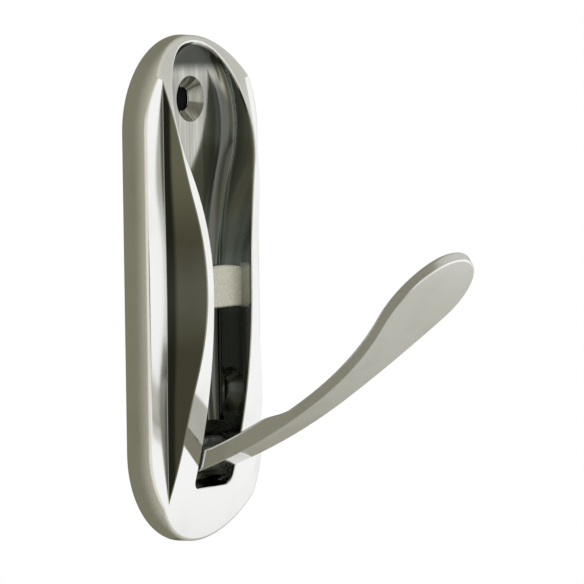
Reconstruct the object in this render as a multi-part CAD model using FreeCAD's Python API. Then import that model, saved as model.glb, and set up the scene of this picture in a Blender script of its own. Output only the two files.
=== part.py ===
import FreeCAD, Part
import math
import os

# Folding wall hook: a crowned wall plate with a spoon-shaped recess, and a spoon-shaped arm
# that swings out of the recess on a pin and folds back flush with the crown.
# Frame: millimetres, +Z up, X to the right seen from the front. The wall is the plane y = 0,
# the front faces -Y, and the origin is the centre of the back face. "Height" is the distance
# in front of the wall.

V = FreeCAD.Vector
X_AXIS = V(1, 0, 0)
Z_AXIS = V(0, 0, 1)
FRONT = V(0, -1, 0)

# Wall plate
PLATE_LENGTH = 95.0
PLATE_WIDTH = 36.0
PLATE_DRAFT_DEG = 3.0
CROWN_HEIGHT = 11.6
CROWN_END_HEIGHT = 2.6
CROWN_DROP = CROWN_HEIGHT - CROWN_END_HEIGHT
CROWN_RADIUS = ((PLATE_LENGTH / 2) ** 2 + CROWN_DROP ** 2) / (2 * CROWN_DROP)
CROWN_SET_OUT = 0.05
PLATE_EDGE_ROUND = 1.0
MOUTH_EDGE_ROUND = 0.35

# Side ledges, falling a little outward
LEDGE_RISE = 2.4
LEDGE_EDGE_HEIGHT = CROWN_END_HEIGHT + LEDGE_RISE
LEDGE_EDGE_SLOPE_DEG = 7.0
LEDGE_RADIUS = PLATE_WIDTH / 2 / math.sin(math.radians(LEDGE_EDGE_SLOPE_DEG))
LEDGE_AXIS_HEIGHT = LEDGE_EDGE_HEIGHT - LEDGE_RADIUS * math.cos(math.radians(LEDGE_EDGE_SLOPE_DEG))

# Spine between the ledges: its walls lean in from straight feet to a scooped waist
SPINE_FOOT_HALF = 13.0
SPINE_END_MARGIN = 7.5
SPINE_HALF_LENGTH = PLATE_LENGTH / 2 - SPINE_END_MARGIN
SPINE_LEAN_DEG = 18.0
WAIST_HALF = 7.8
SCOOP_RUN_OUT = 19.0
SCOOP_HALF_LENGTH = SPINE_HALF_LENGTH - SCOOP_RUN_OUT
SCOOP_BLEND_RADIUS = 26.0

# Recess for the folded arm
NECK_HALF = 5.8
FLARE_START_Z = 0.0
FLARE_SHARE = 0.745
HEAD_HALF = 11.4
HEAD_TOP_MARGIN = 0.6
HEAD_TOP_Z = PLATE_LENGTH / 2 - HEAD_TOP_MARGIN
HEAD_TOP_RADIUS = 8.5
HEAD_ROUND_LENGTH = 15.9
HEAD_WIDEST_Z = HEAD_TOP_Z - HEAD_ROUND_LENGTH
FLOOR_HEIGHT = 2.2
FLOOR_ROUND = 2.7
PIVOT_END_MARGIN = 17.5
PIVOT_Z = PIVOT_END_MARGIN - PLATE_LENGTH / 2
PIVOT_HEIGHT = 3.4
PIVOT_POCKET_ABOVE = 5.0
PIVOT_POCKET_BELOW = 6.9
PIVOT_POCKET_TOP_Z = PIVOT_Z + PIVOT_POCKET_ABOVE
PIVOT_POCKET_BOTTOM_Z = PIVOT_Z - PIVOT_POCKET_BELOW
PIVOT_POCKET_FLOOR = 0.9
PIVOT_POCKET_ROUND = 1.8

# Rest bar that the folded arm lies on
REST_TOP_Z = 4.6
REST_BOTTOM_Z = -3.3
REST_ARCH = 0.7
REST_GAP = 0.3
REST_EDGE_ROUND = 0.5
REST_ROOT = 1.0

# Countersunk screw holes
SCREW_TOP_MARGIN = 11.4
SCREW_TOP_Z = HEAD_TOP_Z - SCREW_TOP_MARGIN
SCREW_PIVOT_SPACING = 10.2
SCREW_BOTTOM_Z = PIVOT_Z + SCREW_PIVOT_SPACING
SCREW_HOLE_RADIUS = 2.25
SCREW_HEAD_RADIUS = 4.3
SCREW_HEAD_HALF_ANGLE_DEG = 45.0

# Hinge
FOLD_ANGLE_DEG = 56.0
PIN_RADIUS = 1.2
PIN_BORE_CLEARANCE = 0.05
PIN_SEAT_DEPTH = 5.0
PIN_SUBFLUSH = 0.4
PIN_CHAMFER = 0.25
PIN_HOLE_RELIEF = 0.2

# Hook arm, described in the folded pose
ARM_SIDE_CLEARANCE = 0.45
ARM_BLADE_THICKNESS = 2.0
ARM_NECK_THICKNESS = 3.3
ARM_REST_MARGIN = 1.2
ARM_STEP_TOP_Z = REST_BOTTOM_Z - ARM_REST_MARGIN
ARM_STEP_LENGTH = 7.5
ARM_STEP_BOTTOM_Z = ARM_STEP_TOP_Z - ARM_STEP_LENGTH
ARM_FLARE_SHARE = 0.84
PADDLE_TIP_MARGIN = 7.9
PADDLE_TIP_Z = HEAD_TOP_Z - PADDLE_TIP_MARGIN
PADDLE_TIP_RADIUS = 11.5
PADDLE_ROUND_LENGTH = 10.4
PADDLE_WIDEST_Z = PADDLE_TIP_Z - PADDLE_ROUND_LENGTH
PADDLE_CLEARANCE = 0.7
KNUCKLE_RADIUS = 2.2
HEEL_CLEARANCE = 0.36
PIVOT_REACH = math.hypot(CROWN_RADIUS - CROWN_HEIGHT + PIVOT_HEIGHT, PIVOT_Z)
HEEL_RADIUS = CROWN_RADIUS - PIVOT_REACH - HEEL_CLEARANCE
HEEL_BLEND_RADIUS = 9.0
ROOT_FILLET_RADIUS = 6.0
ARM_FRONT_ROUND = 0.4
ARM_BACK_ROUND = 0.5

# Spring washers beside the knuckle
WASHER_THICKNESS = 0.3
WASHER_RADIUS = 2.0
WASHER_BORE_CLEARANCE = 0.1

# Working allowances
OVERCUT = 6.0
MATCH = 1e-4
SAMPLES = 5


def at(x, height, z):
    return V(x, -height, z)


def line(start, end):
    return Part.LineSegment(start, end).toShape()


def arc(start, middle, end):
    return Part.Arc(start, middle, end).toShape()


def meet(centre_a, reach_a, centre_b, reach_b, side):
    """Point at given distances from two centres, left (1) or right (-1) of the line a to b."""
    across = (centre_b[0] - centre_a[0], centre_b[1] - centre_a[1])
    span = math.hypot(*across)
    along = (reach_a ** 2 - reach_b ** 2 + span ** 2) / (2 * span)
    off = side * math.sqrt(reach_a ** 2 - along ** 2)
    unit = (across[0] / span, across[1] / span)
    return (centre_a[0] + along * unit[0] - off * unit[1],
            centre_a[1] + along * unit[1] + off * unit[0])


def toward(centre, target, reach):
    """Point at a distance from a centre in the direction of a target."""
    span = math.dist(centre, target)
    return (centre[0] + (target[0] - centre[0]) * reach / span,
            centre[1] + (target[1] - centre[1]) * reach / span)


def arc_between(centre, start, end):
    """Middle point of the shorter arc from start to end about a centre."""
    half_way = ((start[0] + end[0]) / 2, (start[1] + end[1]) / 2)
    return toward(centre, half_way, math.dist(centre, start))


def spoon(neck_half, bottom_z, wide_half, wide_z, flare_share, tip_radius, tip_z, height):
    """Closed spoon outline: straight neck, outward flare, shoulder and rounded tip."""
    spread = wide_half - neck_half
    both_radii = ((wide_z - FLARE_START_Z) ** 2 + spread ** 2) / (2 * spread)
    flare_radius = flare_share * both_radii
    hip_radius = both_radii - flare_radius
    flare_centre = (neck_half + flare_radius, FLARE_START_Z)
    hip_centre = (wide_half - hip_radius, wide_z)
    flare_end = toward(hip_centre, flare_centre, hip_radius)
    tip_centre = (0.0, tip_z - tip_radius)
    rise = tip_centre[1] - wide_z
    shoulder_radius = (wide_half ** 2 + rise ** 2 - tip_radius ** 2) / (2 * (wide_half - tip_radius))
    shoulder_centre = (wide_half - shoulder_radius, wide_z)
    if shoulder_radius > tip_radius:
        shoulder_end = toward(shoulder_centre, tip_centre, shoulder_radius)
    else:
        shoulder_end = toward(tip_centre, shoulder_centre, tip_radius)
    corner = (neck_half, bottom_z)
    neck_top = (neck_half, FLARE_START_Z)
    widest = (wide_half, wide_z)
    flare_middle = arc_between(flare_centre, neck_top, flare_end)
    hip_middle = arc_between(hip_centre, flare_end, widest)
    shoulder_middle = arc_between(shoulder_centre, widest, shoulder_end)

    def place(point, side):
        return at(side * point[0], height, point[1])

    def flank(side):
        return [
            line(place(corner, side), place(neck_top, side)),
            arc(place(neck_top, side), place(flare_middle, side), place(flare_end, side)),
            arc(place(flare_end, side), place(hip_middle, side), place(widest, side)),
            arc(place(widest, side), place(shoulder_middle, side), place(shoulder_end, side)),
        ]

    tip = arc(place(shoulder_end, 1), at(0, height, tip_z), place(shoulder_end, -1))
    base = line(place(corner, -1), place(corner, 1))
    return Part.Wire(Part.__sortEdges__(flank(1) + [tip] + flank(-1) + [base]))


def prism(wire, length):
    return Part.Face(wire).extrude(FRONT * length)


def stadium(length, width, height):
    radius = width / 2
    straight = length / 2 - radius
    lower_left = at(-radius, height, -straight)
    upper_left = at(-radius, height, straight)
    upper_right = at(radius, height, straight)
    lower_right = at(radius, height, -straight)
    return Part.Wire([
        line(lower_left, upper_left),
        arc(upper_left, at(0, height, length / 2), upper_right),
        line(upper_right, lower_right),
        arc(lower_right, at(0, height, -length / 2), lower_left),
    ])


def rounded_slab(front, set_out):
    """Drafted stadium block under a round front, with its rim rounded and its walls set outward."""
    top = CROWN_HEIGHT + OVERCUT
    inset = top * math.tan(math.radians(PLATE_DRAFT_DEG)) - set_out
    foot = stadium(PLATE_LENGTH + 2 * set_out, PLATE_WIDTH + 2 * set_out, 0)
    head = stadium(PLATE_LENGTH - 2 * inset, PLATE_WIDTH - 2 * inset, top)
    slab = Part.makeLoft([foot, head], True, True).common(front)
    return slab.makeFillet(PLATE_EDGE_ROUND, [e for e in slab.Edges if touches(e, front.Shells[0])])


def plate_blank():
    """Ledge slab and spine, trimmed by the crown, whose walls stay just clear of the slab's."""
    crown = Part.makeCylinder(
        CROWN_RADIUS, 2 * PLATE_WIDTH, at(-PLATE_WIDTH, CROWN_HEIGHT - CROWN_RADIUS, 0), X_AXIS)
    ledge = Part.makeCylinder(
        LEDGE_RADIUS, 2 * PLATE_LENGTH, at(0, LEDGE_AXIS_HEIGHT, -PLATE_LENGTH), Z_AXIS)
    return rounded_slab(ledge, 0).fuse(spine()).common(rounded_slab(crown, CROWN_SET_OUT))


def on_crown(edge, depth=0.0):
    """True for an edge that lies on the crown's cylinder, or at a depth under it."""
    axis_height = CROWN_HEIGHT - CROWN_RADIUS
    radii = [math.hypot(-p.y - axis_height, p.z) for p in edge.discretize(SAMPLES)]
    return all(abs(r - CROWN_RADIUS + depth) < MATCH for r in radii)


def runs_along_z(edge):
    return edge.BoundBox.ZLength > MATCH


def touches(edge, tool):
    """True for an edge whose middle lies on another shape."""
    middle = edge.valueAt((edge.FirstParameter + edge.LastParameter) / 2)
    return Part.Vertex(middle).distToShape(tool)[0] < MATCH


def spine():
    """Block between the ledges, lofted from straight foot lines to the scooped rims above the crown."""
    top = CROWN_HEIGHT + OVERCUT
    rise = top - LEDGE_EDGE_HEIGHT
    waist_lean = (SPINE_FOOT_HALF - WAIST_HALF) / (CROWN_HEIGHT - LEDGE_EDGE_HEIGHT)
    waist_x = SPINE_FOOT_HALF - rise * waist_lean
    run_x = SPINE_FOOT_HALF - rise * math.tan(math.radians(SPINE_LEAN_DEG))
    depth = run_x - waist_x
    scoop_radius = (SCOOP_HALF_LENGTH ** 2 + depth ** 2) / (2 * depth)
    scoop_centre = (waist_x + scoop_radius, 0.0)
    blend_x = run_x - SCOOP_BLEND_RADIUS
    reach = scoop_radius + SCOOP_BLEND_RADIUS
    blend_z = math.sqrt(reach ** 2 - (scoop_centre[0] - blend_x) ** 2)
    scoop_end = toward((blend_x, blend_z), scoop_centre, SCOOP_BLEND_RADIUS)
    blend_middle = arc_between((blend_x, blend_z), scoop_end, (run_x, blend_z))
    stops = [-SPINE_HALF_LENGTH, -blend_z, -scoop_end[1], scoop_end[1], blend_z, SPINE_HALF_LENGTH]

    def foot_line(side):
        points = [at(side * SPINE_FOOT_HALF, LEDGE_EDGE_HEIGHT, z) for z in stops]
        return [line(a, b) for a, b in zip(points, points[1:])]

    def rim(side):
        def upper(x, z):
            return at(side * x, top, z)

        return [
            line(upper(run_x, -SPINE_HALF_LENGTH), upper(run_x, -blend_z)),
            arc(upper(run_x, -blend_z), upper(blend_middle[0], -blend_middle[1]),
                upper(scoop_end[0], -scoop_end[1])),
            arc(upper(scoop_end[0], -scoop_end[1]), upper(waist_x, 0), upper(*scoop_end)),
            arc(upper(*scoop_end), upper(*blend_middle), upper(run_x, blend_z)),
            line(upper(run_x, blend_z), upper(run_x, SPINE_HALF_LENGTH)),
        ]

    def ring(half, height, right, left):
        low_end = line(at(-half, height, -SPINE_HALF_LENGTH), at(half, height, -SPINE_HALF_LENGTH))
        high_end = line(at(half, height, SPINE_HALF_LENGTH), at(-half, height, SPINE_HALF_LENGTH))
        return Part.Wire([low_end, *right, high_end, *reversed(left)])

    feet = ring(SPINE_FOOT_HALF, LEDGE_EDGE_HEIGHT, foot_line(1), foot_line(-1))
    rims = ring(run_x, top, rim(1), rim(-1))
    return Part.makeLoft([feet, rims], True, True)


def arm_recess():
    """Cutter for the spoon-shaped recess, with its floor rounded into its walls."""
    outline = spoon(NECK_HALF, PIVOT_Z, HEAD_HALF, HEAD_WIDEST_Z, FLARE_SHARE,
                    HEAD_TOP_RADIUS, HEAD_TOP_Z, FLOOR_HEIGHT)
    cutter = prism(outline, CROWN_HEIGHT)
    floor_edges = [e for e in cutter.Edges if abs(e.BoundBox.YMin + FLOOR_HEIGHT) < MATCH]
    return cutter.makeFillet(FLOOR_ROUND, [e for e in floor_edges if e.BoundBox.ZMax > PIVOT_Z + MATCH])


def pivot_pocket():
    """Cutter for the deeper pocket round the knuckle."""
    depth = CROWN_HEIGHT + OVERCUT
    tall = PIVOT_POCKET_TOP_Z - PIVOT_POCKET_BOTTOM_Z
    corner = at(-NECK_HALF, depth, PIVOT_POCKET_BOTTOM_Z)
    pocket = Part.makeBox(2 * NECK_HALF, depth - PIVOT_POCKET_FLOOR, tall, corner)
    low_edges = [e for e in pocket.Edges
                 if abs(e.BoundBox.ZMax - PIVOT_POCKET_BOTTOM_Z) < MATCH and e.BoundBox.YLength > MATCH]
    return pocket.makeFillet(PIVOT_POCKET_ROUND, low_edges)


def rest_bar():
    """Bar across the recess, arched at its top, just under the folded arm."""
    half = NECK_HALF + REST_ROOT
    root = FLOOR_HEIGHT - REST_ROOT
    tall = CROWN_HEIGHT - ARM_BLADE_THICKNESS - REST_GAP
    outline = Part.Wire([
        arc(at(-half, root, REST_TOP_Z - REST_ARCH), at(0, root, REST_TOP_Z),
            at(half, root, REST_TOP_Z - REST_ARCH)),
        line(at(half, root, REST_TOP_Z - REST_ARCH), at(half, root, REST_BOTTOM_Z)),
        line(at(half, root, REST_BOTTOM_Z), at(-half, root, REST_BOTTOM_Z)),
        line(at(-half, root, REST_BOTTOM_Z), at(-half, root, REST_TOP_Z - REST_ARCH)),
    ])
    bar = prism(outline, tall - root)
    lips = [e for e in bar.Edges if abs(e.BoundBox.YMax + tall) < MATCH and e.BoundBox.XLength > MATCH]
    return bar.makeFillet(REST_EDGE_ROUND, lips)


def screw_hole(z):
    """Cutter for a countersunk hole, with room for the head above the floor."""
    sink = (SCREW_HEAD_RADIUS - SCREW_HOLE_RADIUS) / math.tan(math.radians(SCREW_HEAD_HALF_ANGLE_DEG))
    shank = Part.makeCylinder(SCREW_HOLE_RADIUS, FLOOR_HEIGHT + OVERCUT, at(0, -OVERCUT, z), FRONT)
    cone = Part.makeCone(SCREW_HOLE_RADIUS, SCREW_HEAD_RADIUS, sink, at(0, FLOOR_HEIGHT - sink, z), FRONT)
    head = Part.makeCylinder(SCREW_HEAD_RADIUS, FLOOR_ROUND, at(0, FLOOR_HEIGHT, z), FRONT)
    return shank.fuse([cone, head])


def pin_end_x():
    """Where the pin stops, just inside the plate's right side."""
    inset = PIVOT_HEIGHT * math.tan(math.radians(PLATE_DRAFT_DEG))
    return PLATE_WIDTH / 2 - inset - PIN_SUBFLUSH


def along_x(radius, start, end):
    return Part.makeCylinder(radius, end - start, at(start, PIVOT_HEIGHT, PIVOT_Z), X_AXIS)


def base_housing():
    recess = arm_recess()
    pocket = pivot_pocket()
    hollow = plate_blank().cut([recess, pocket]).removeSplitter()
    mouth = [e for e in hollow.Edges
             if on_crown(e) and (touches(e, recess) or touches(e, pocket))]
    hollow = hollow.makeFillet(MOUTH_EDGE_ROUND, mouth)
    hollow = hollow.fuse(rest_bar())
    pin_hole = along_x(PIN_RADIUS, -NECK_HALF - PIN_SEAT_DEPTH - PIN_HOLE_RELIEF, PLATE_WIDTH)
    return hollow.cut([screw_hole(SCREW_TOP_Z), screw_hole(SCREW_BOTTOM_Z), pin_hole])


def arm_profile():
    """Side outline of the folded arm, as (height, z) points joined by tangent arcs."""
    crown_centre = (CROWN_HEIGHT - CROWN_RADIUS, 0.0)
    pivot = (PIVOT_HEIGHT, PIVOT_Z)
    blade_radius = CROWN_RADIUS - ARM_BLADE_THICKNESS
    neck_radius = CROWN_RADIUS - ARM_NECK_THICKNESS
    fold = math.radians(FOLD_ANGLE_DEG)

    def on_arc(radius, z):
        return (crown_centre[0] + math.sqrt(radius ** 2 - z ** 2), z)

    def turned(forward, up):
        """Offset from the pivot, given in the open pose and turned up to the folded pose."""
        return (pivot[0] + forward * math.cos(fold) - up * math.sin(fold),
                pivot[1] + forward * math.sin(fold) + up * math.cos(fold))

    heel_blend = meet(crown_centre, CROWN_RADIUS - HEEL_BLEND_RADIUS,
                      pivot, HEEL_BLEND_RADIUS - HEEL_RADIUS, 1)
    root_centre = meet(crown_centre, neck_radius - ROOT_FILLET_RADIUS,
                       pivot, KNUCKLE_RADIUS + ROOT_FILLET_RADIUS, 1)
    face_low = toward(crown_centre, heel_blend, CROWN_RADIUS)
    heel_top = toward(heel_blend, pivot, HEEL_BLEND_RADIUS)
    root_top = toward(crown_centre, root_centre, neck_radius)
    knuckle_top = toward(pivot, root_centre, KNUCKLE_RADIUS)
    flat_top = turned(-KNUCKLE_RADIUS, 0.0)
    flat_low = turned(-KNUCKLE_RADIUS, -math.sqrt(HEEL_RADIUS ** 2 - KNUCKLE_RADIUS ** 2))
    face_tip = on_arc(CROWN_RADIUS, PADDLE_TIP_Z + OVERCUT)
    back_tip = on_arc(blade_radius, PADDLE_TIP_Z + OVERCUT)
    step_top = on_arc(blade_radius, ARM_STEP_TOP_Z)
    step_low = on_arc(neck_radius, ARM_STEP_BOTTOM_Z)

    def place(point):
        return at(0, *point)

    def round_run(centre, start, end):
        return arc(place(start), place(arc_between(centre, start, end)), place(end))

    def heading(point):
        """Downward tangent of the crown's circles at a point."""
        return at(0, point[1], crown_centre[0] - point[0])

    step = Part.BSplineCurve()
    step.interpolate(Points=[place(step_top), place(step_low)],
                     InitialTangent=heading(step_top), FinalTangent=heading(step_low))
    return Part.Wire([
        round_run(crown_centre, face_low, face_tip),
        line(place(face_tip), place(back_tip)),
        round_run(crown_centre, back_tip, step_top),
        step.toShape(),
        round_run(crown_centre, step_low, root_top),
        round_run(root_centre, root_top, knuckle_top),
        round_run(pivot, knuckle_top, flat_top),
        line(place(flat_top), place(flat_low)),
        round_run(pivot, flat_low, heel_top),
        round_run(heel_blend, heel_top, face_low),
    ])


def hook_arm():
    neck_half = NECK_HALF - ARM_SIDE_CLEARANCE
    wide_half = HEAD_HALF - PADDLE_CLEARANCE
    side = Part.Face(arm_profile())
    side.translate(X_AXIS * -HEAD_HALF)
    slab = side.extrude(X_AXIS * 2 * HEAD_HALF)
    plan = prism(spoon(neck_half, PIVOT_POCKET_BOTTOM_Z, wide_half, PADDLE_WIDEST_Z, ARM_FLARE_SHARE,
                       PADDLE_TIP_RADIUS, PADDLE_TIP_Z, 0), CROWN_HEIGHT + OVERCUT)
    arm = slab.common(plan)
    front = [e for e in arm.Edges if on_crown(e) and runs_along_z(e)]
    arm = arm.makeFillet(ARM_FRONT_ROUND, front)
    back = [e for e in arm.Edges if on_crown(e, ARM_BLADE_THICKNESS) and runs_along_z(e)]
    arm = arm.makeFillet(ARM_BACK_ROUND, back)
    arm = arm.cut(along_x(PIN_RADIUS + PIN_BORE_CLEARANCE, -HEAD_HALF, HEAD_HALF))
    arm.rotate(at(0, PIVOT_HEIGHT, PIVOT_Z), X_AXIS, FOLD_ANGLE_DEG)
    return arm


def hinge_pin():
    pin = along_x(PIN_RADIUS, -NECK_HALF - PIN_SEAT_DEPTH, pin_end_x())
    ends = [e for e in pin.Edges if e.BoundBox.XLength < MATCH]
    return pin.makeChamfer(PIN_CHAMFER, ends)


def spring_washers():
    """One washer each side of the knuckle, lying on the pocket's wall."""
    washers = []
    for left in (-NECK_HALF, NECK_HALF - WASHER_THICKNESS):
        disc = along_x(WASHER_RADIUS, left, left + WASHER_THICKNESS)
        hole = along_x(PIN_RADIUS + WASHER_BORE_CLEARANCE, left - OVERCUT, left + OVERCUT)
        washers.append(disc.cut(hole))
    return Part.Compound(washers)


def main():
    os.makedirs("parts", exist_ok=True)
    nodes = {
        "base_housing": base_housing(),
        "hook_arm": hook_arm(),
        "hinge_pin": hinge_pin(),
        "spring_washers": spring_washers(),
    }
    for name, shape in nodes.items():
        shape.exportStep(f"parts/{name}.step")
        print(name, "solids", len(shape.Solids), "volume", round(shape.Volume, 1), "valid", shape.isValid())


main()
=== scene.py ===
"""Finishes, stage and camera for a folding wall hook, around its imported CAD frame."""

import math

import bpy
from mathutils import Matrix, Vector


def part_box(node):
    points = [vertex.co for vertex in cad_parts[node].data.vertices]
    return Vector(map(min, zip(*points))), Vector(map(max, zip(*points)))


bl_info = {
    "name": "Folding Wall Hook",
    "version": (1, 0, 0),
    "blender": (4, 5, 0),
    "location": "3D View > Sidebar > Wall Hook",
    "description": "Chrome and steel finishes and a plain studio for a folding wall hook",
    "category": "Object",
}

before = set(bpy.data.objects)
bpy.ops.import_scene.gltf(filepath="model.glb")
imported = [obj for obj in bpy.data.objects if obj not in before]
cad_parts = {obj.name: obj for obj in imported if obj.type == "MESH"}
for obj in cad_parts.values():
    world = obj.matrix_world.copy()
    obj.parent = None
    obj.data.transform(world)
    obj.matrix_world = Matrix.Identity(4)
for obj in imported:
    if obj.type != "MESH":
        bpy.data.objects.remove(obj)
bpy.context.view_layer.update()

# Plate sizes, in metres
PLATE_LOW, PLATE_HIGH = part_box("base_housing")
CROWN_HEIGHT = PLATE_HIGH.y - PLATE_LOW.y
CROWN_RADIUS = 0.12985
END_CENTRE = 0.0295
LEDGE_TOP = 0.0061
LEDGE_RADIUS = 0.1477

# Recess outline, in metres: a neck that widens with the square of the height, and a domed head
NECK_HALF_WIDTH = 0.0061
NECK_FLARE = 0.132
HEAD_HALF_WIDTH = 0.0117
HEAD_CENTRE = 0.031
HEAD_RISE = 0.0159

# Height of the rest bar's middle, in metres
BAR_CENTRE = 0.00065

# Start and end of each change of finish, painted shade or painted sheen, in metres
RECESS_DEPTH = (0.0003, 0.0008)
RECESS_EDGE = (-0.0001, 0.0002)
BACK_FACE = (0.0001, 0.0002)
CORNER_SHADE_DEPTH = (0.0028, 0.0040)
WALL_FOOT = (0.0006, 0.0010)
WALL_SHADE_LIGHTENS = (-0.006, 0.006)
HEAD_SHADE = (0.0400, 0.0425)
BAR_HALF_HEIGHT = (0.0043, 0.0039)
BAR_DEPTH = (0.0030, 0.0026)
BAR_END = (0.0002, 0.0004)
NOTCH_DEPTH = (0.0001, 0.0003)
NOTCH_FLOOR = (0.00002, 0.00012)
NOTCH_FOOT_SHADE = (0.0009, 0.0017)
NOTCH_SHADE_LIGHTENS = (0.004, 0.026)
LEDGE_SIDE = (0.0123, 0.0128)
PLATE_SIDE = (0.0169, 0.0176)
SHEEN_LIFT = (0.0022, 0.0058)

# Share of the recess's half width over which the painted shade in its corners darkens
CORNER_SHADE_SHARE = (0.25, 0.75)

# Textures: grain along X, Y and Z in waves per metre, then the noise's detail and roughness
HAZE = ((90, 90, 60), 3.0, 0.5)
POLISHING_LINES = ((2600, 2600, 90), 2.0, 0.5)
RIPPLE = ((70, 70, 45), 1.0, 0.5)
STREAKS = ((900, 300, 28), 3.0, 0.6)
SAND = ((2400, 2400, 2400), 3.0, 0.6)
GROUND_LINES = ((5200, 300, 300), 2.0, 0.5)
OIL_FILM = ((500, 500, 500), 2.0, 0.5)

# Range of a texture over which a colour or the roughness changes
HAZE_TONES = (0.45, 0.75)
HAZE_BLUR_RANGE = (0.4, 0.8)
LINES_BLUR_RANGE = (0.5, 0.8)
STREAK_TONES = (0.40, 0.70)
SAND_TONES = (0.35, 0.65)
OIL_TONES = (0.35, 0.7)

# Roughness that a texture or a place adds
HAZE_BLUR = 0.03
LINES_BLUR = 0.02
STREAK_BLUR = 0.06
SAND_BLUR = 0.22
LEDGE_BLUR = 0.08

# Share of the surface that scatters light where it is sanded, and where the painted sheen lies towards the
# front edge of the sides
SANDED_SHARE = 0.75
SHEEN_SHARE = 0.38

# Ground steel: least roughness, what its lines add to it, their relief, and the brightness left under oil
STEEL_POLISH = 0.24
STEEL_LINES_BLUR = 0.14
STEEL_LINES_STRENGTH = 0.3
STEEL_LINES_DEPTH = 0.00002
OILED_BRIGHTNESS = 0.78

# Studio that the metal mirrors: directions, and how squarely one is faced where each part starts and ends
SCREEN_DIRECTION = (0.8, -0.6, 0.0)
FRONT_DIRECTION = (0.0, -1.0, 0.0)
CEILING_DIRECTION = (0.0, 0.0, 1.0)
ROOM_RANGE = (0.18, 0.66)
FRONT_RANGE = (0.50, 0.82)
SCREEN_RANGE = (0.62, 0.92)
CEILING_RANGE = (0.12, 0.36)

# Share of the screen and of the room's front that is lost towards the ceiling
CEILING_SHARE = 0.85

# White of the screen and the backdrop, and strength of the plain light
WHITE = (1, 1, 1)
PLAIN_LIGHT = 0.8

# Stage: fading of the floor to white in metres, corners of its round shapes, and colour of the dark discs of
# painted shade behind the screw holes
FLOOR_FADE = (0.10, 0.34)
FLOOR_CORNERS = 128
HOLE_CORNERS = 48
HOLE_SHADE_DARK = (0.01, 0.01, 0.01)

# Camera: slopes by which its aim is turned off the plate's centre, and the nearest distance shown
AIM_RIGHT = 0.02904
AIM_DOWN = 0.00096
CLIP_START = 0.01


def colour_setting(name, description, default):
    return bpy.props.FloatVectorProperty(
        name=name, description=description, subtype="COLOR", size=3, min=0, max=1, default=default)


def length_setting(name, description, default, **limits):
    return bpy.props.FloatProperty(
        name=name, description=description, unit="LENGTH", default=default, **limits)


def angle_setting(name, description, degrees):
    return bpy.props.FloatProperty(
        name=name, description=description, unit="ROTATION", default=math.radians(degrees))


def share_setting(name, description, default):
    return bpy.props.FloatProperty(
        name=name, description=description, subtype="FACTOR", min=0, max=1, default=default)


class HookFinish(bpy.types.PropertyGroup):
    """Colours and polish of the plating and the steel, with the painted shade and sheen on the plate."""

    chrome: colour_setting(
        "Chrome", "Colour of the polished plating", (0.90, 0.90, 0.895))
    chrome_shade: colour_setting(
        "Chrome Shade", "Colour of the plating where it is thinner", (0.82, 0.815, 0.80))
    # Painted shade: the recess's darker colour stands in for the shade in it; its greater roughness is the
    # duller plating
    recess: colour_setting(
        "Recess", "Colour of the unpolished plating in the recess", (0.44, 0.44, 0.40))
    recess_streak: colour_setting(
        "Recess Streak", "Colour of the lighter streaks in the recess", (0.66, 0.66, 0.61))
    # Painted shade: dark colour in the recess's inside corners and on its walls below the plate's middle
    painted_corner_shade: colour_setting(
        "Thin Plating", "Colour of the thin dark plating in inside corners", (0.17, 0.18, 0.165))
    # Painted shade: colour of the recess's upright walls above the plate's middle, darker than the plating
    painted_wall_shade: colour_setting(
        "Recess Wall", "Colour of the plating on the recess's upright walls", (0.42, 0.45, 0.435))
    # Painted shade: near-black colour at the recess's upper end and at the foot of the scooped walls
    painted_deep_shade: colour_setting(
        "Bare Corner", "Colour of the casting where the plating hardly reaches", (0.07, 0.075, 0.066))
    # Painted shade: dark colour of the scooped notch walls
    scoop_shade: colour_setting(
        "Scoop", "Colour of the dull plating on the scooped walls", (0.23, 0.23, 0.195))
    # Painted shade: lighter colour that the scooped walls blend to near the plate's upper end
    scoop_upper_shade: colour_setting(
        "Scoop Top", "Colour of the scooped walls near the plate's upper end", (0.56, 0.56, 0.50))
    # Painted sheen: lighter, warmer and partly non-metallic colour towards the front edge of the plate's
    # sides
    painted_edge_sheen: colour_setting(
        "Worn Edge", "Colour of the plating towards the front edge of the plate's sides",
        (0.90, 0.875, 0.76))
    rest_bar: colour_setting(
        "Rest Bar", "Colour of the sanded bar that the arm rests on", (0.56, 0.55, 0.445))
    rest_bar_grain: colour_setting(
        "Rest Bar Grain", "Darker colour of the sanded bar's grain", (0.45, 0.445, 0.355))
    steel: colour_setting(
        "Steel", "Colour of the pin and washers", (0.56, 0.56, 0.57))
    polish: share_setting(
        "Polish", "Roughness of the polished plating", 0.07)
    satin: share_setting(
        "Satin", "Share of the arm's surface that scatters light, from handling", 0.07)
    ripple: length_setting(
        "Ripple", "Depth of the slow waves left by hand polishing", 0.0002, min=0)


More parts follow.
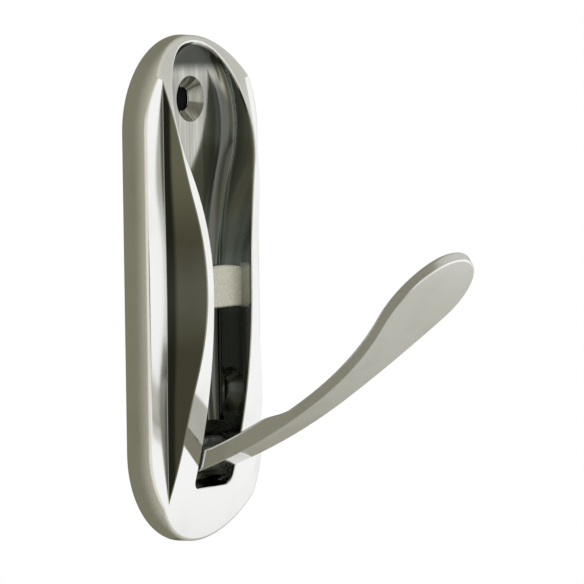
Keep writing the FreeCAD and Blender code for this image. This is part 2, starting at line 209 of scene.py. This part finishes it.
class HookStage(bpy.types.PropertyGroup):
    """Floor, light and camera."""

    floor_drop: length_setting(
        "Floor Drop", "Distance from the plate's lower end to the floor", 0.06, min=0)
    floor_radius: length_setting(
        "Floor Radius", "Radius of the round floor", 3.0, min=0.5)
    floor_colour: colour_setting(
        "Floor", "Colour of the pale floor", (0.90, 0.90, 0.90))
    upper_hole: length_setting(
        "Upper Hole", "Height of the upper screw hole", 0.0355)
    lower_hole: length_setting(
        "Lower Hole", "Height of the lower screw hole", -0.0198)
    # Painted shade: dark discs behind the screw holes
    hole_radius: length_setting(
        "Hole Radius", "Radius of the dark disc behind a screw hole", 0.0027, min=0)
    hole_gap: length_setting(
        "Hole Gap", "Distance from the plate's back to the disc", 0.0004, min=0)
    room_shade: colour_setting(
        "Room Shade", "Colour of the room away from the white screen", (0.208, 0.20, 0.142))
    room_light: colour_setting(
        "Room Light", "Colour of the room near the white screen", (0.505, 0.497, 0.438))
    room_front: colour_setting(
        "Room Front", "Colour of the room straight in front of the plate", (0.74, 0.73, 0.69))
    lamp_place: bpy.props.FloatVectorProperty(
        name="Lamp Place", description="Place of the soft lamp, which is aimed at the plate",
        subtype="TRANSLATION", unit="LENGTH", size=3, default=(0.5, -0.5, 1.1))
    lamp_size: length_setting(
        "Lamp Size", "Side of the square lamp", 0.9, min=0)
    lamp_power: bpy.props.FloatProperty(
        name="Lamp Power", description="Power of the soft lamp", unit="POWER", min=0, default=9.0)
    camera_azimuth: angle_setting(
        "Camera Azimuth", "Angle of the camera round the plate, left of its front", 52.93)
    camera_elevation: angle_setting(
        "Camera Elevation", "Angle of the camera above the horizon", 3.84)
    camera_roll: angle_setting(
        "Camera Roll", "Turn of the camera about its own axis", -0.83)
    camera_distance: length_setting(
        "Camera Distance", "Distance from the camera to the plate's centre", 0.7, min=0.1)
    camera_lens: bpy.props.FloatProperty(
        name="Lens", description="Focal length of the camera", unit="CAMERA", min=10, default=230.1)


class Wire:
    """A shader socket that works in Python expressions: each operator adds a Math node."""

    def __init__(self, tree, socket):
        self.tree = tree
        self.socket = socket

    def make(self, kind, settings=None, values=None, output=0):
        return add_node(self.tree, kind, settings, values, output)

    def output(self, name):
        """Another output of the same node."""
        return Wire(self.tree, self.socket.node.outputs[name])

    def math(self, operation, *terms):
        return self.make("ShaderNodeMath", {"operation": operation}, dict(enumerate(terms)))

    def __add__(self, other):
        return self.math("ADD", self, other)

    __radd__ = __add__

    def __sub__(self, other):
        return self.math("SUBTRACT", self, other)

    def __rsub__(self, other):
        return self.math("SUBTRACT", other, self)

    def __mul__(self, other):
        return self.math("MULTIPLY", self, other)

    __rmul__ = __mul__

    def __truediv__(self, other):
        return self.math("DIVIDE", self, other)

    def __pow__(self, other):
        return self.math("POWER", self, other)

    def __neg__(self):
        return self * -1.0

    def __abs__(self):
        return self.math("ABSOLUTE", self)

    def least(self, other):
        return self.math("MINIMUM", self, other)

    def most(self, other):
        return self.math("MAXIMUM", self, other)

    def step(self, start, end):
        """Smooth rise from 0 at the start to 1 at the end, which may be the smaller of the two."""
        return self.make(
            "ShaderNodeMapRange", {"interpolation_type": "SMOOTHSTEP"},
            {"Value": self, "From Min": start, "From Max": end})


def add_node(tree, kind, settings=None, values=None, output=0):
    """Adds a node: its settings first, then the values or links of its sockets."""
    node = tree.nodes.new(kind)
    for name, setting in (settings or {}).items():
        setattr(node, name, setting)
    for name, value in (values or {}).items():
        if isinstance(value, Wire):
            tree.links.new(value.socket, node.inputs[name])
        else:
            node.inputs[name].default_value = value
    return Wire(tree, node.outputs[output]) if node.outputs else None


def new_material(name):
    material = bpy.data.materials.new(name)
    material.use_nodes = True
    material.node_tree.nodes.clear()
    return material, material.node_tree


def close(tree, shader):
    add_node(tree, "ShaderNodeOutputMaterial", values={"Surface": shader})


def close_metal(tree, colour, metal, rough, normal):
    """Ends a material in one shader for metal."""
    close(tree, add_node(tree, "ShaderNodeBsdfPrincipled", values={
        "Base Color": colour, "Metallic": metal, "Roughness": rough, "Normal": normal}))


def object_place(tree):
    return add_node(tree, "ShaderNodeTexCoord", output="Object")


def stretched_noise(place, grain, detail, roughness):
    """Noise whose grain per metre is given along X, Y and Z."""
    spread = place.make("ShaderNodeMapping", values={"Vector": place, "Scale": grain})
    return place.make("ShaderNodeTexNoise", output="Fac", values={
        "Vector": spread, "Scale": 1.0, "Detail": detail, "Roughness": roughness})


def as_colour(value):
    """A colour for a socket, from a link or from red, green and blue."""
    return value if isinstance(value, Wire) else (*value, 1)


def blend_colours(tree, factor, first, second):
    return add_node(
        tree, "ShaderNodeMix", {"data_type": "RGBA"},
        {"Factor": factor, 6: as_colour(first), 7: as_colour(second)}, 2)


def blend_shaders(tree, factor, first, second):
    return add_node(tree, "ShaderNodeMixShader", values={0: factor, 1: first, 2: second})


def raised_normal(tree, height, strength=1.0, distance=1.0):
    """Normal of the surface raised by a height, which is in metres at a distance of 1."""
    return add_node(tree, "ShaderNodeBump", values={
        "Strength": strength, "Distance": distance, "Height": height})


def recess_half_width(z):
    """Half of the recess's width at a height on the plate."""
    above_neck = z.most(0.0)
    in_head = (z - HEAD_CENTRE).most(0.0) / HEAD_RISE
    dome = (1.0 - in_head * in_head).most(0.0) ** 0.5
    return (above_neck * above_neck / NECK_FLARE + NECK_HALF_WIDTH).least(HEAD_HALF_WIDTH) * dome


class PlateSpot:
    """A point of the wall plate: distances in metres, and masks for the places with a finish, painted shade
    or painted sheen of their own.
    """

    def __init__(self, place):
        x = place.make("ShaderNodeSeparateXYZ", values={"Vector": place}, output="X")
        self.z = x.output("Z")
        self.side = abs(x)
        lift = -x.output("Y")
        crown = (CROWN_RADIUS ** 2 - self.z * self.z) ** 0.5 + (CROWN_HEIGHT - CROWN_RADIUS)
        self.depth = crown - lift
        self.half_width = recess_half_width(self.z)
        self.from_wall = self.half_width - self.side
        self.above_ledge = lift - (LEDGE_TOP - self.side * self.side / (2 * LEDGE_RADIUS))
        self.recess = self.depth.step(*RECESS_DEPTH) * self.from_wall.step(*RECESS_EDGE)
        self.recess = self.recess * lift.step(*BACK_FACE)
        self.bar = abs(self.z - BAR_CENTRE).step(*BAR_HALF_HEIGHT)
        self.bar = self.bar * self.depth.step(*BAR_DEPTH) * self.from_wall.step(*BAR_END)
        self.notch = self.depth.step(*NOTCH_DEPTH) * self.above_ledge.step(*NOTCH_FLOOR)
        self.ledge = self.side.step(*LEDGE_SIDE) * (1.0 - self.notch)
        # Painted sheen towards the front edge of the plate's sides
        past_end = (abs(self.z) - END_CENTRE).most(0.0)
        reach = (self.side * self.side + past_end * past_end) ** 0.5
        self.front_sheen = reach.step(*PLATE_SIDE) * lift.step(*SHEEN_LIFT)


def polished_plating(tree, place, finish):
    """Colour, roughness and normal of the plating: slow ripple, fine polishing lines, thin cloudy haze."""
    haze = stretched_noise(place, *HAZE)
    lines = stretched_noise(place, *POLISHING_LINES)
    colour = blend_colours(tree, haze.step(*HAZE_TONES), finish.chrome, finish.chrome_shade)
    rough = finish.polish + haze.step(*HAZE_BLUR_RANGE) * HAZE_BLUR
    rough = rough + lines.step(*LINES_BLUR_RANGE) * LINES_BLUR
    normal = raised_normal(tree, stretched_noise(place, *RIPPLE) * finish.ripple)
    return colour, rough, normal


def recess_colour(tree, spot, finish, streaks, sand):
    """Painted shade over a streaked floor: a darker floor, dark corners and a near-black upper end, walls
    shaded darker below the plate's middle; and the sanded bar.
    """
    # Painted shade: the recess floor is darker than the crown, with lighter random streaks
    colour = blend_colours(tree, streaks.step(*STREAK_TONES), finish.recess, finish.recess_streak)
    # Painted shade: the deep recess floor darkens towards its inside corners
    corner_shade_mask = (spot.side / spot.half_width).step(*CORNER_SHADE_SHARE) * spot.depth.step(*CORNER_SHADE_DEPTH)
    colour = blend_colours(tree, corner_shade_mask, colour, finish.painted_corner_shade)
    # Painted shade on the upright walls: darkest below the plate's middle, lighter above it
    upright = blend_colours(tree, spot.z.step(*WALL_SHADE_LIGHTENS), finish.painted_corner_shade, finish.painted_wall_shade)
    colour = blend_colours(tree, 1.0 - spot.from_wall.step(*WALL_FOOT), colour, upright)
    # Painted shade: the recess turns near black at its upper end
    colour = blend_colours(tree, spot.z.step(*HEAD_SHADE), colour, finish.painted_deep_shade)
    sanded = blend_colours(tree, sand.step(*SAND_TONES), finish.rest_bar, finish.rest_bar_grain)
    return blend_colours(tree, spot.bar, colour, sanded)


def notch_colour(tree, spot, finish):
    """Painted shade on the scooped wall: dark, lighter towards the plate's upper end, and near black at its
    foot.
    """
    scoop_shade = blend_colours(tree, spot.z.step(*NOTCH_SHADE_LIGHTENS), finish.scoop_shade, finish.scoop_upper_shade)
    # Painted shade: near black at the foot of the scooped wall
    return blend_colours(tree, spot.above_ledge.step(*NOTCH_FOOT_SHADE), finish.painted_deep_shade, scoop_shade)


def plate_material(finish):
    """Polished plating, with painted shade on the notches, a rougher recess with painted shade, a sanded rest
    bar, and a painted sheen towards the front edge of the sides.
    """
    material, tree = new_material("plate_chrome")
    place = object_place(tree)
    spot = PlateSpot(place)
    streaks = stretched_noise(place, *STREAKS)
    sand = stretched_noise(place, *SAND)
    colour, rough, normal = polished_plating(tree, place, finish)
    # Painted shade on the scooped notch walls
    colour = blend_colours(tree, spot.notch, colour, notch_colour(tree, spot, finish))
    # Painted shade in the recess
    colour = blend_colours(tree, spot.recess, colour, recess_colour(tree, spot, finish, streaks, sand))
    # Painted sheen towards the front edge of the sides
    colour = blend_colours(tree, spot.front_sheen, colour, finish.painted_edge_sheen)
    rough = rough + spot.recess * (streaks * STREAK_BLUR + spot.bar * SAND_BLUR)
    rough = rough + spot.ledge * LEDGE_BLUR
    metal = 1.0 - spot.recess * spot.bar * SANDED_SHARE - spot.front_sheen * SHEEN_SHARE
    close_metal(tree, colour, metal, rough, normal)
    return material


def arm_material(finish):
    """Polished plating, a little duller from handling."""
    material, tree = new_material("arm_chrome")
    colour, rough, normal = polished_plating(tree, object_place(tree), finish)
    close_metal(tree, colour, 1.0 - finish.satin, rough, normal)
    return material


def steel_material(name, finish):
    """Ground steel: fine lines across the axis and a thin film of oil."""
    material, tree = new_material(name)
    place = object_place(tree)
    lines = stretched_noise(place, *GROUND_LINES)
    oil = stretched_noise(place, *OIL_FILM)
    oiled = tuple(OILED_BRIGHTNESS * channel for channel in finish.steel)
    colour = blend_colours(tree, oil.step(*OIL_TONES), finish.steel, oiled)
    rough = STEEL_POLISH + lines * STEEL_LINES_BLUR
    close_metal(tree, colour, 1.0, rough, raised_normal(tree, lines, STEEL_LINES_STRENGTH, STEEL_LINES_DEPTH))
    return material


def dress(node, material):
    """Gives a CAD node one material in place of its own."""
    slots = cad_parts[node].material_slots
    if not slots:
        raise RuntimeError(f"{node} has no material slot")
    for slot in slots:
        slot.material = material


class HOOK_OT_finish_plate(bpy.types.Operator):
    """Plate the wall plate: polished crown, rougher recess with painted shade"""

    bl_idname = "hook.finish_plate"
    bl_label = "Finish Wall Plate"

    def execute(self, context):
        dress("base_housing", plate_material(context.scene.hook_finish))
        return {"FINISHED"}


class HOOK_OT_finish_arm(bpy.types.Operator):
    """Plate the folding arm"""

    bl_idname = "hook.finish_arm"
    bl_label = "Finish Folding Arm"

    def execute(self, context):
        dress("hook_arm", arm_material(context.scene.hook_finish))
        return {"FINISHED"}


class HOOK_OT_finish_hinge(bpy.types.Operator):
    """Give the hinge pin and its washers ground steel"""

    bl_idname = "hook.finish_hinge"
    bl_label = "Finish Hinge Pin and Washers"

    def execute(self, context):
        finish = context.scene.hook_finish
        dress("hinge_pin", steel_material("pin_steel", finish))
        dress("spring_washers", steel_material("washer_steel", finish))
        return {"FINISHED"}


def towards(direction, target):
    """How far a direction points at a target: 1 is straight at it."""
    return direction.make(
        "ShaderNodeVectorMath", {"operation": "DOT_PRODUCT"},
        {0: direction, 1: Vector(target).normalized()}, "Value")


def background(tree, colour, strength):
    return add_node(tree, "ShaderNodeBackground", values={"Color": as_colour(colour), "Strength": strength})


def mirrored_room(tree, stage):
    """Colour of a warm grey room with one big white screen on the right, as the metal sees it."""
    direction = add_node(tree, "ShaderNodeTexCoord", output="Generated")
    facing = towards(direction, SCREEN_DIRECTION)
    front = towards(direction, FRONT_DIRECTION).step(*FRONT_RANGE)
    below_ceiling = 1.0 - towards(direction, CEILING_DIRECTION).step(*CEILING_RANGE) * CEILING_SHARE
    room = blend_colours(tree, facing.step(*ROOM_RANGE), stage.room_shade, stage.room_light)
    room = blend_colours(tree, front * below_ceiling, room, stage.room_front)
    return blend_colours(tree, facing.step(*SCREEN_RANGE) * below_ceiling, room, WHITE)


def studio_world(scene):
    """White to the camera, plain soft light for dull surfaces, and a room for the metal to mirror."""
    world = bpy.data.worlds.new("studio")
    scene.world = world
    world.use_nodes = True
    tree = world.node_tree
    tree.nodes.clear()
    to_camera = add_node(tree, "ShaderNodeLightPath", output="Is Camera Ray")
    to_metal = to_camera.output("Is Glossy Ray").most(to_camera.output("Is Transmission Ray"))
    plain = background(tree, WHITE, PLAIN_LIGHT)
    room = background(tree, mirrored_room(tree, scene.hook_stage), 1.0)
    lit = blend_shaders(tree, to_metal, plain, room)
    shown = blend_shaders(tree, to_camera, lit, background(tree, WHITE, 1.0))
    add_node(tree, "ShaderNodeOutputWorld", values={"Surface": shown})


def floor_material(stage):
    """Pale floor that takes the shadow near the hook and runs out to white for the camera."""
    material, tree = new_material("pale_floor")
    place = object_place(tree)
    distance = place.make("ShaderNodeVectorMath", {"operation": "LENGTH"}, {0: place}, "Value")
    to_camera = add_node(tree, "ShaderNodeLightPath", output="Is Camera Ray")
    pale = add_node(tree, "ShaderNodeBsdfDiffuse", values={"Color": as_colour(stage.floor_colour)})
    white = add_node(tree, "ShaderNodeEmission", values={"Color": as_colour(WHITE), "Strength": 1.0})
    close(tree, blend_shaders(tree, to_camera * distance.step(*FLOOR_FADE), pale, white))
    return material


def hole_shade_material():
    """Painted shade: dark, standing in for the shade seen through a screw hole."""
    material, tree = new_material("hole_painted_shade")
    close(tree, add_node(tree, "ShaderNodeBsdfDiffuse", values={"Color": as_colour(HOLE_SHADE_DARK)}))
    return material


def stage_disc(context, name, material, corners, radius, location, tilt=0.0):
    """Adds a flat round face to the stage."""
    bpy.ops.object.select_all(action="DESELECT")
    bpy.ops.mesh.primitive_circle_add(
        vertices=corners, radius=radius, fill_type="NGON", location=location, rotation=(tilt, 0, 0))
    disc = context.object
    disc.name = name
    disc.data.materials.append(material)
    return disc


def add_lamp(context, stage):
    """Soft square lamp aimed at the plate, hidden from the camera and from reflections."""
    bpy.ops.object.light_add(type="AREA", location=stage.lamp_place)
    lamp = context.object
    lamp.name = "soft_box"
    lamp.data.size = stage.lamp_size
    lamp.data.energy = stage.lamp_power
    lamp.visible_camera = False
    lamp.visible_glossy = False
    lamp.rotation_euler = (-lamp.location).to_track_quat("-Z", "Y").to_euler()


def set_camera(context, stage):
    """Camera at the photograph's angle, aimed so that the whole hook is centred."""
    azimuth, elevation, roll = stage.camera_azimuth, stage.camera_elevation, stage.camera_roll
    back = Vector((
        -math.sin(azimuth) * math.cos(elevation),
        -math.cos(azimuth) * math.cos(elevation),
        math.sin(elevation)))
    right = (-back).cross(Vector((0, 0, 1))).normalized()
    up = right.cross(-back)
    rolled_right = right * math.cos(roll) + up * math.sin(roll)
    rolled_up = up * math.cos(roll) - right * math.sin(roll)
    aim = (-back + rolled_right * AIM_RIGHT - rolled_up * AIM_DOWN).normalized()
    side = (rolled_right - aim * rolled_right.dot(aim)).normalized()
    turn = Matrix((side, (-aim).cross(side), -aim)).transposed()
    bpy.ops.object.camera_add()
    camera = context.object
    camera.name = "photo_camera"
    camera.data.lens = stage.camera_lens
    camera.data.clip_start = CLIP_START
    camera.matrix_world = Matrix.Translation(back * stage.camera_distance) @ turn.to_4x4()
    context.scene.camera = camera


class HOOK_OT_stage(bpy.types.Operator):
    """Build the floor, the dark discs of painted shade behind the screw holes, the light and the camera"""

    bl_idname = "hook.stage"
    bl_label = "Build Stage"

    def execute(self, context):
        scene = context.scene
        stage = scene.hook_stage
        floor_height = PLATE_LOW.z - stage.floor_drop
        floor = stage_disc(
            context, "floor", floor_material(stage), FLOOR_CORNERS, stage.floor_radius, (0, 0, floor_height))
        floor.visible_glossy = False
        # Painted shade: a dark disc behind each screw hole
        dark = hole_shade_material()
        for height in (stage.upper_hole, stage.lower_hole):
            stage_disc(
                context, "hole_shade", dark, HOLE_CORNERS, stage.hole_radius,
                (0, stage.hole_gap, height), math.radians(90))
        studio_world(scene)
        add_lamp(context, stage)
        set_camera(context, stage)
        scene.view_settings.view_transform = "Standard"
        return {"FINISHED"}


class HOOK_PT_panel(bpy.types.Panel):
    """Lists the hook's operators and settings"""

    bl_idname = "HOOK_PT_panel"
    bl_label = "Wall Hook"
    bl_space_type = "VIEW_3D"
    bl_region_type = "UI"
    bl_category = "Wall Hook"

    def draw(self, context):
        for group in (context.scene.hook_finish, context.scene.hook_stage):
            for name in group.bl_rna.properties.keys():
                if name not in ("rna_type", "name"):
                    self.layout.prop(group, name)
        for operator in OPERATORS:
            self.layout.operator(operator.bl_idname)


OPERATORS = (HOOK_OT_finish_plate, HOOK_OT_finish_arm, HOOK_OT_finish_hinge, HOOK_OT_stage)
CLASSES = (HookFinish, HookStage, *OPERATORS, HOOK_PT_panel)


def register():
    for cls in CLASSES:
        bpy.utils.register_class(cls)
    bpy.types.Scene.hook_finish = bpy.props.PointerProperty(type=HookFinish)
    bpy.types.Scene.hook_stage = bpy.props.PointerProperty(type=HookStage)


def unregister():
    del bpy.types.Scene.hook_stage
    del bpy.types.Scene.hook_finish
    for cls in reversed(CLASSES):
        bpy.utils.unregister_class(cls)


def main():
    register()
    bpy.ops.hook.finish_plate()
    bpy.ops.hook.finish_arm()
    bpy.ops.hook.finish_hinge()
    bpy.ops.hook.stage()


if __name__ == "__main__":
    main()
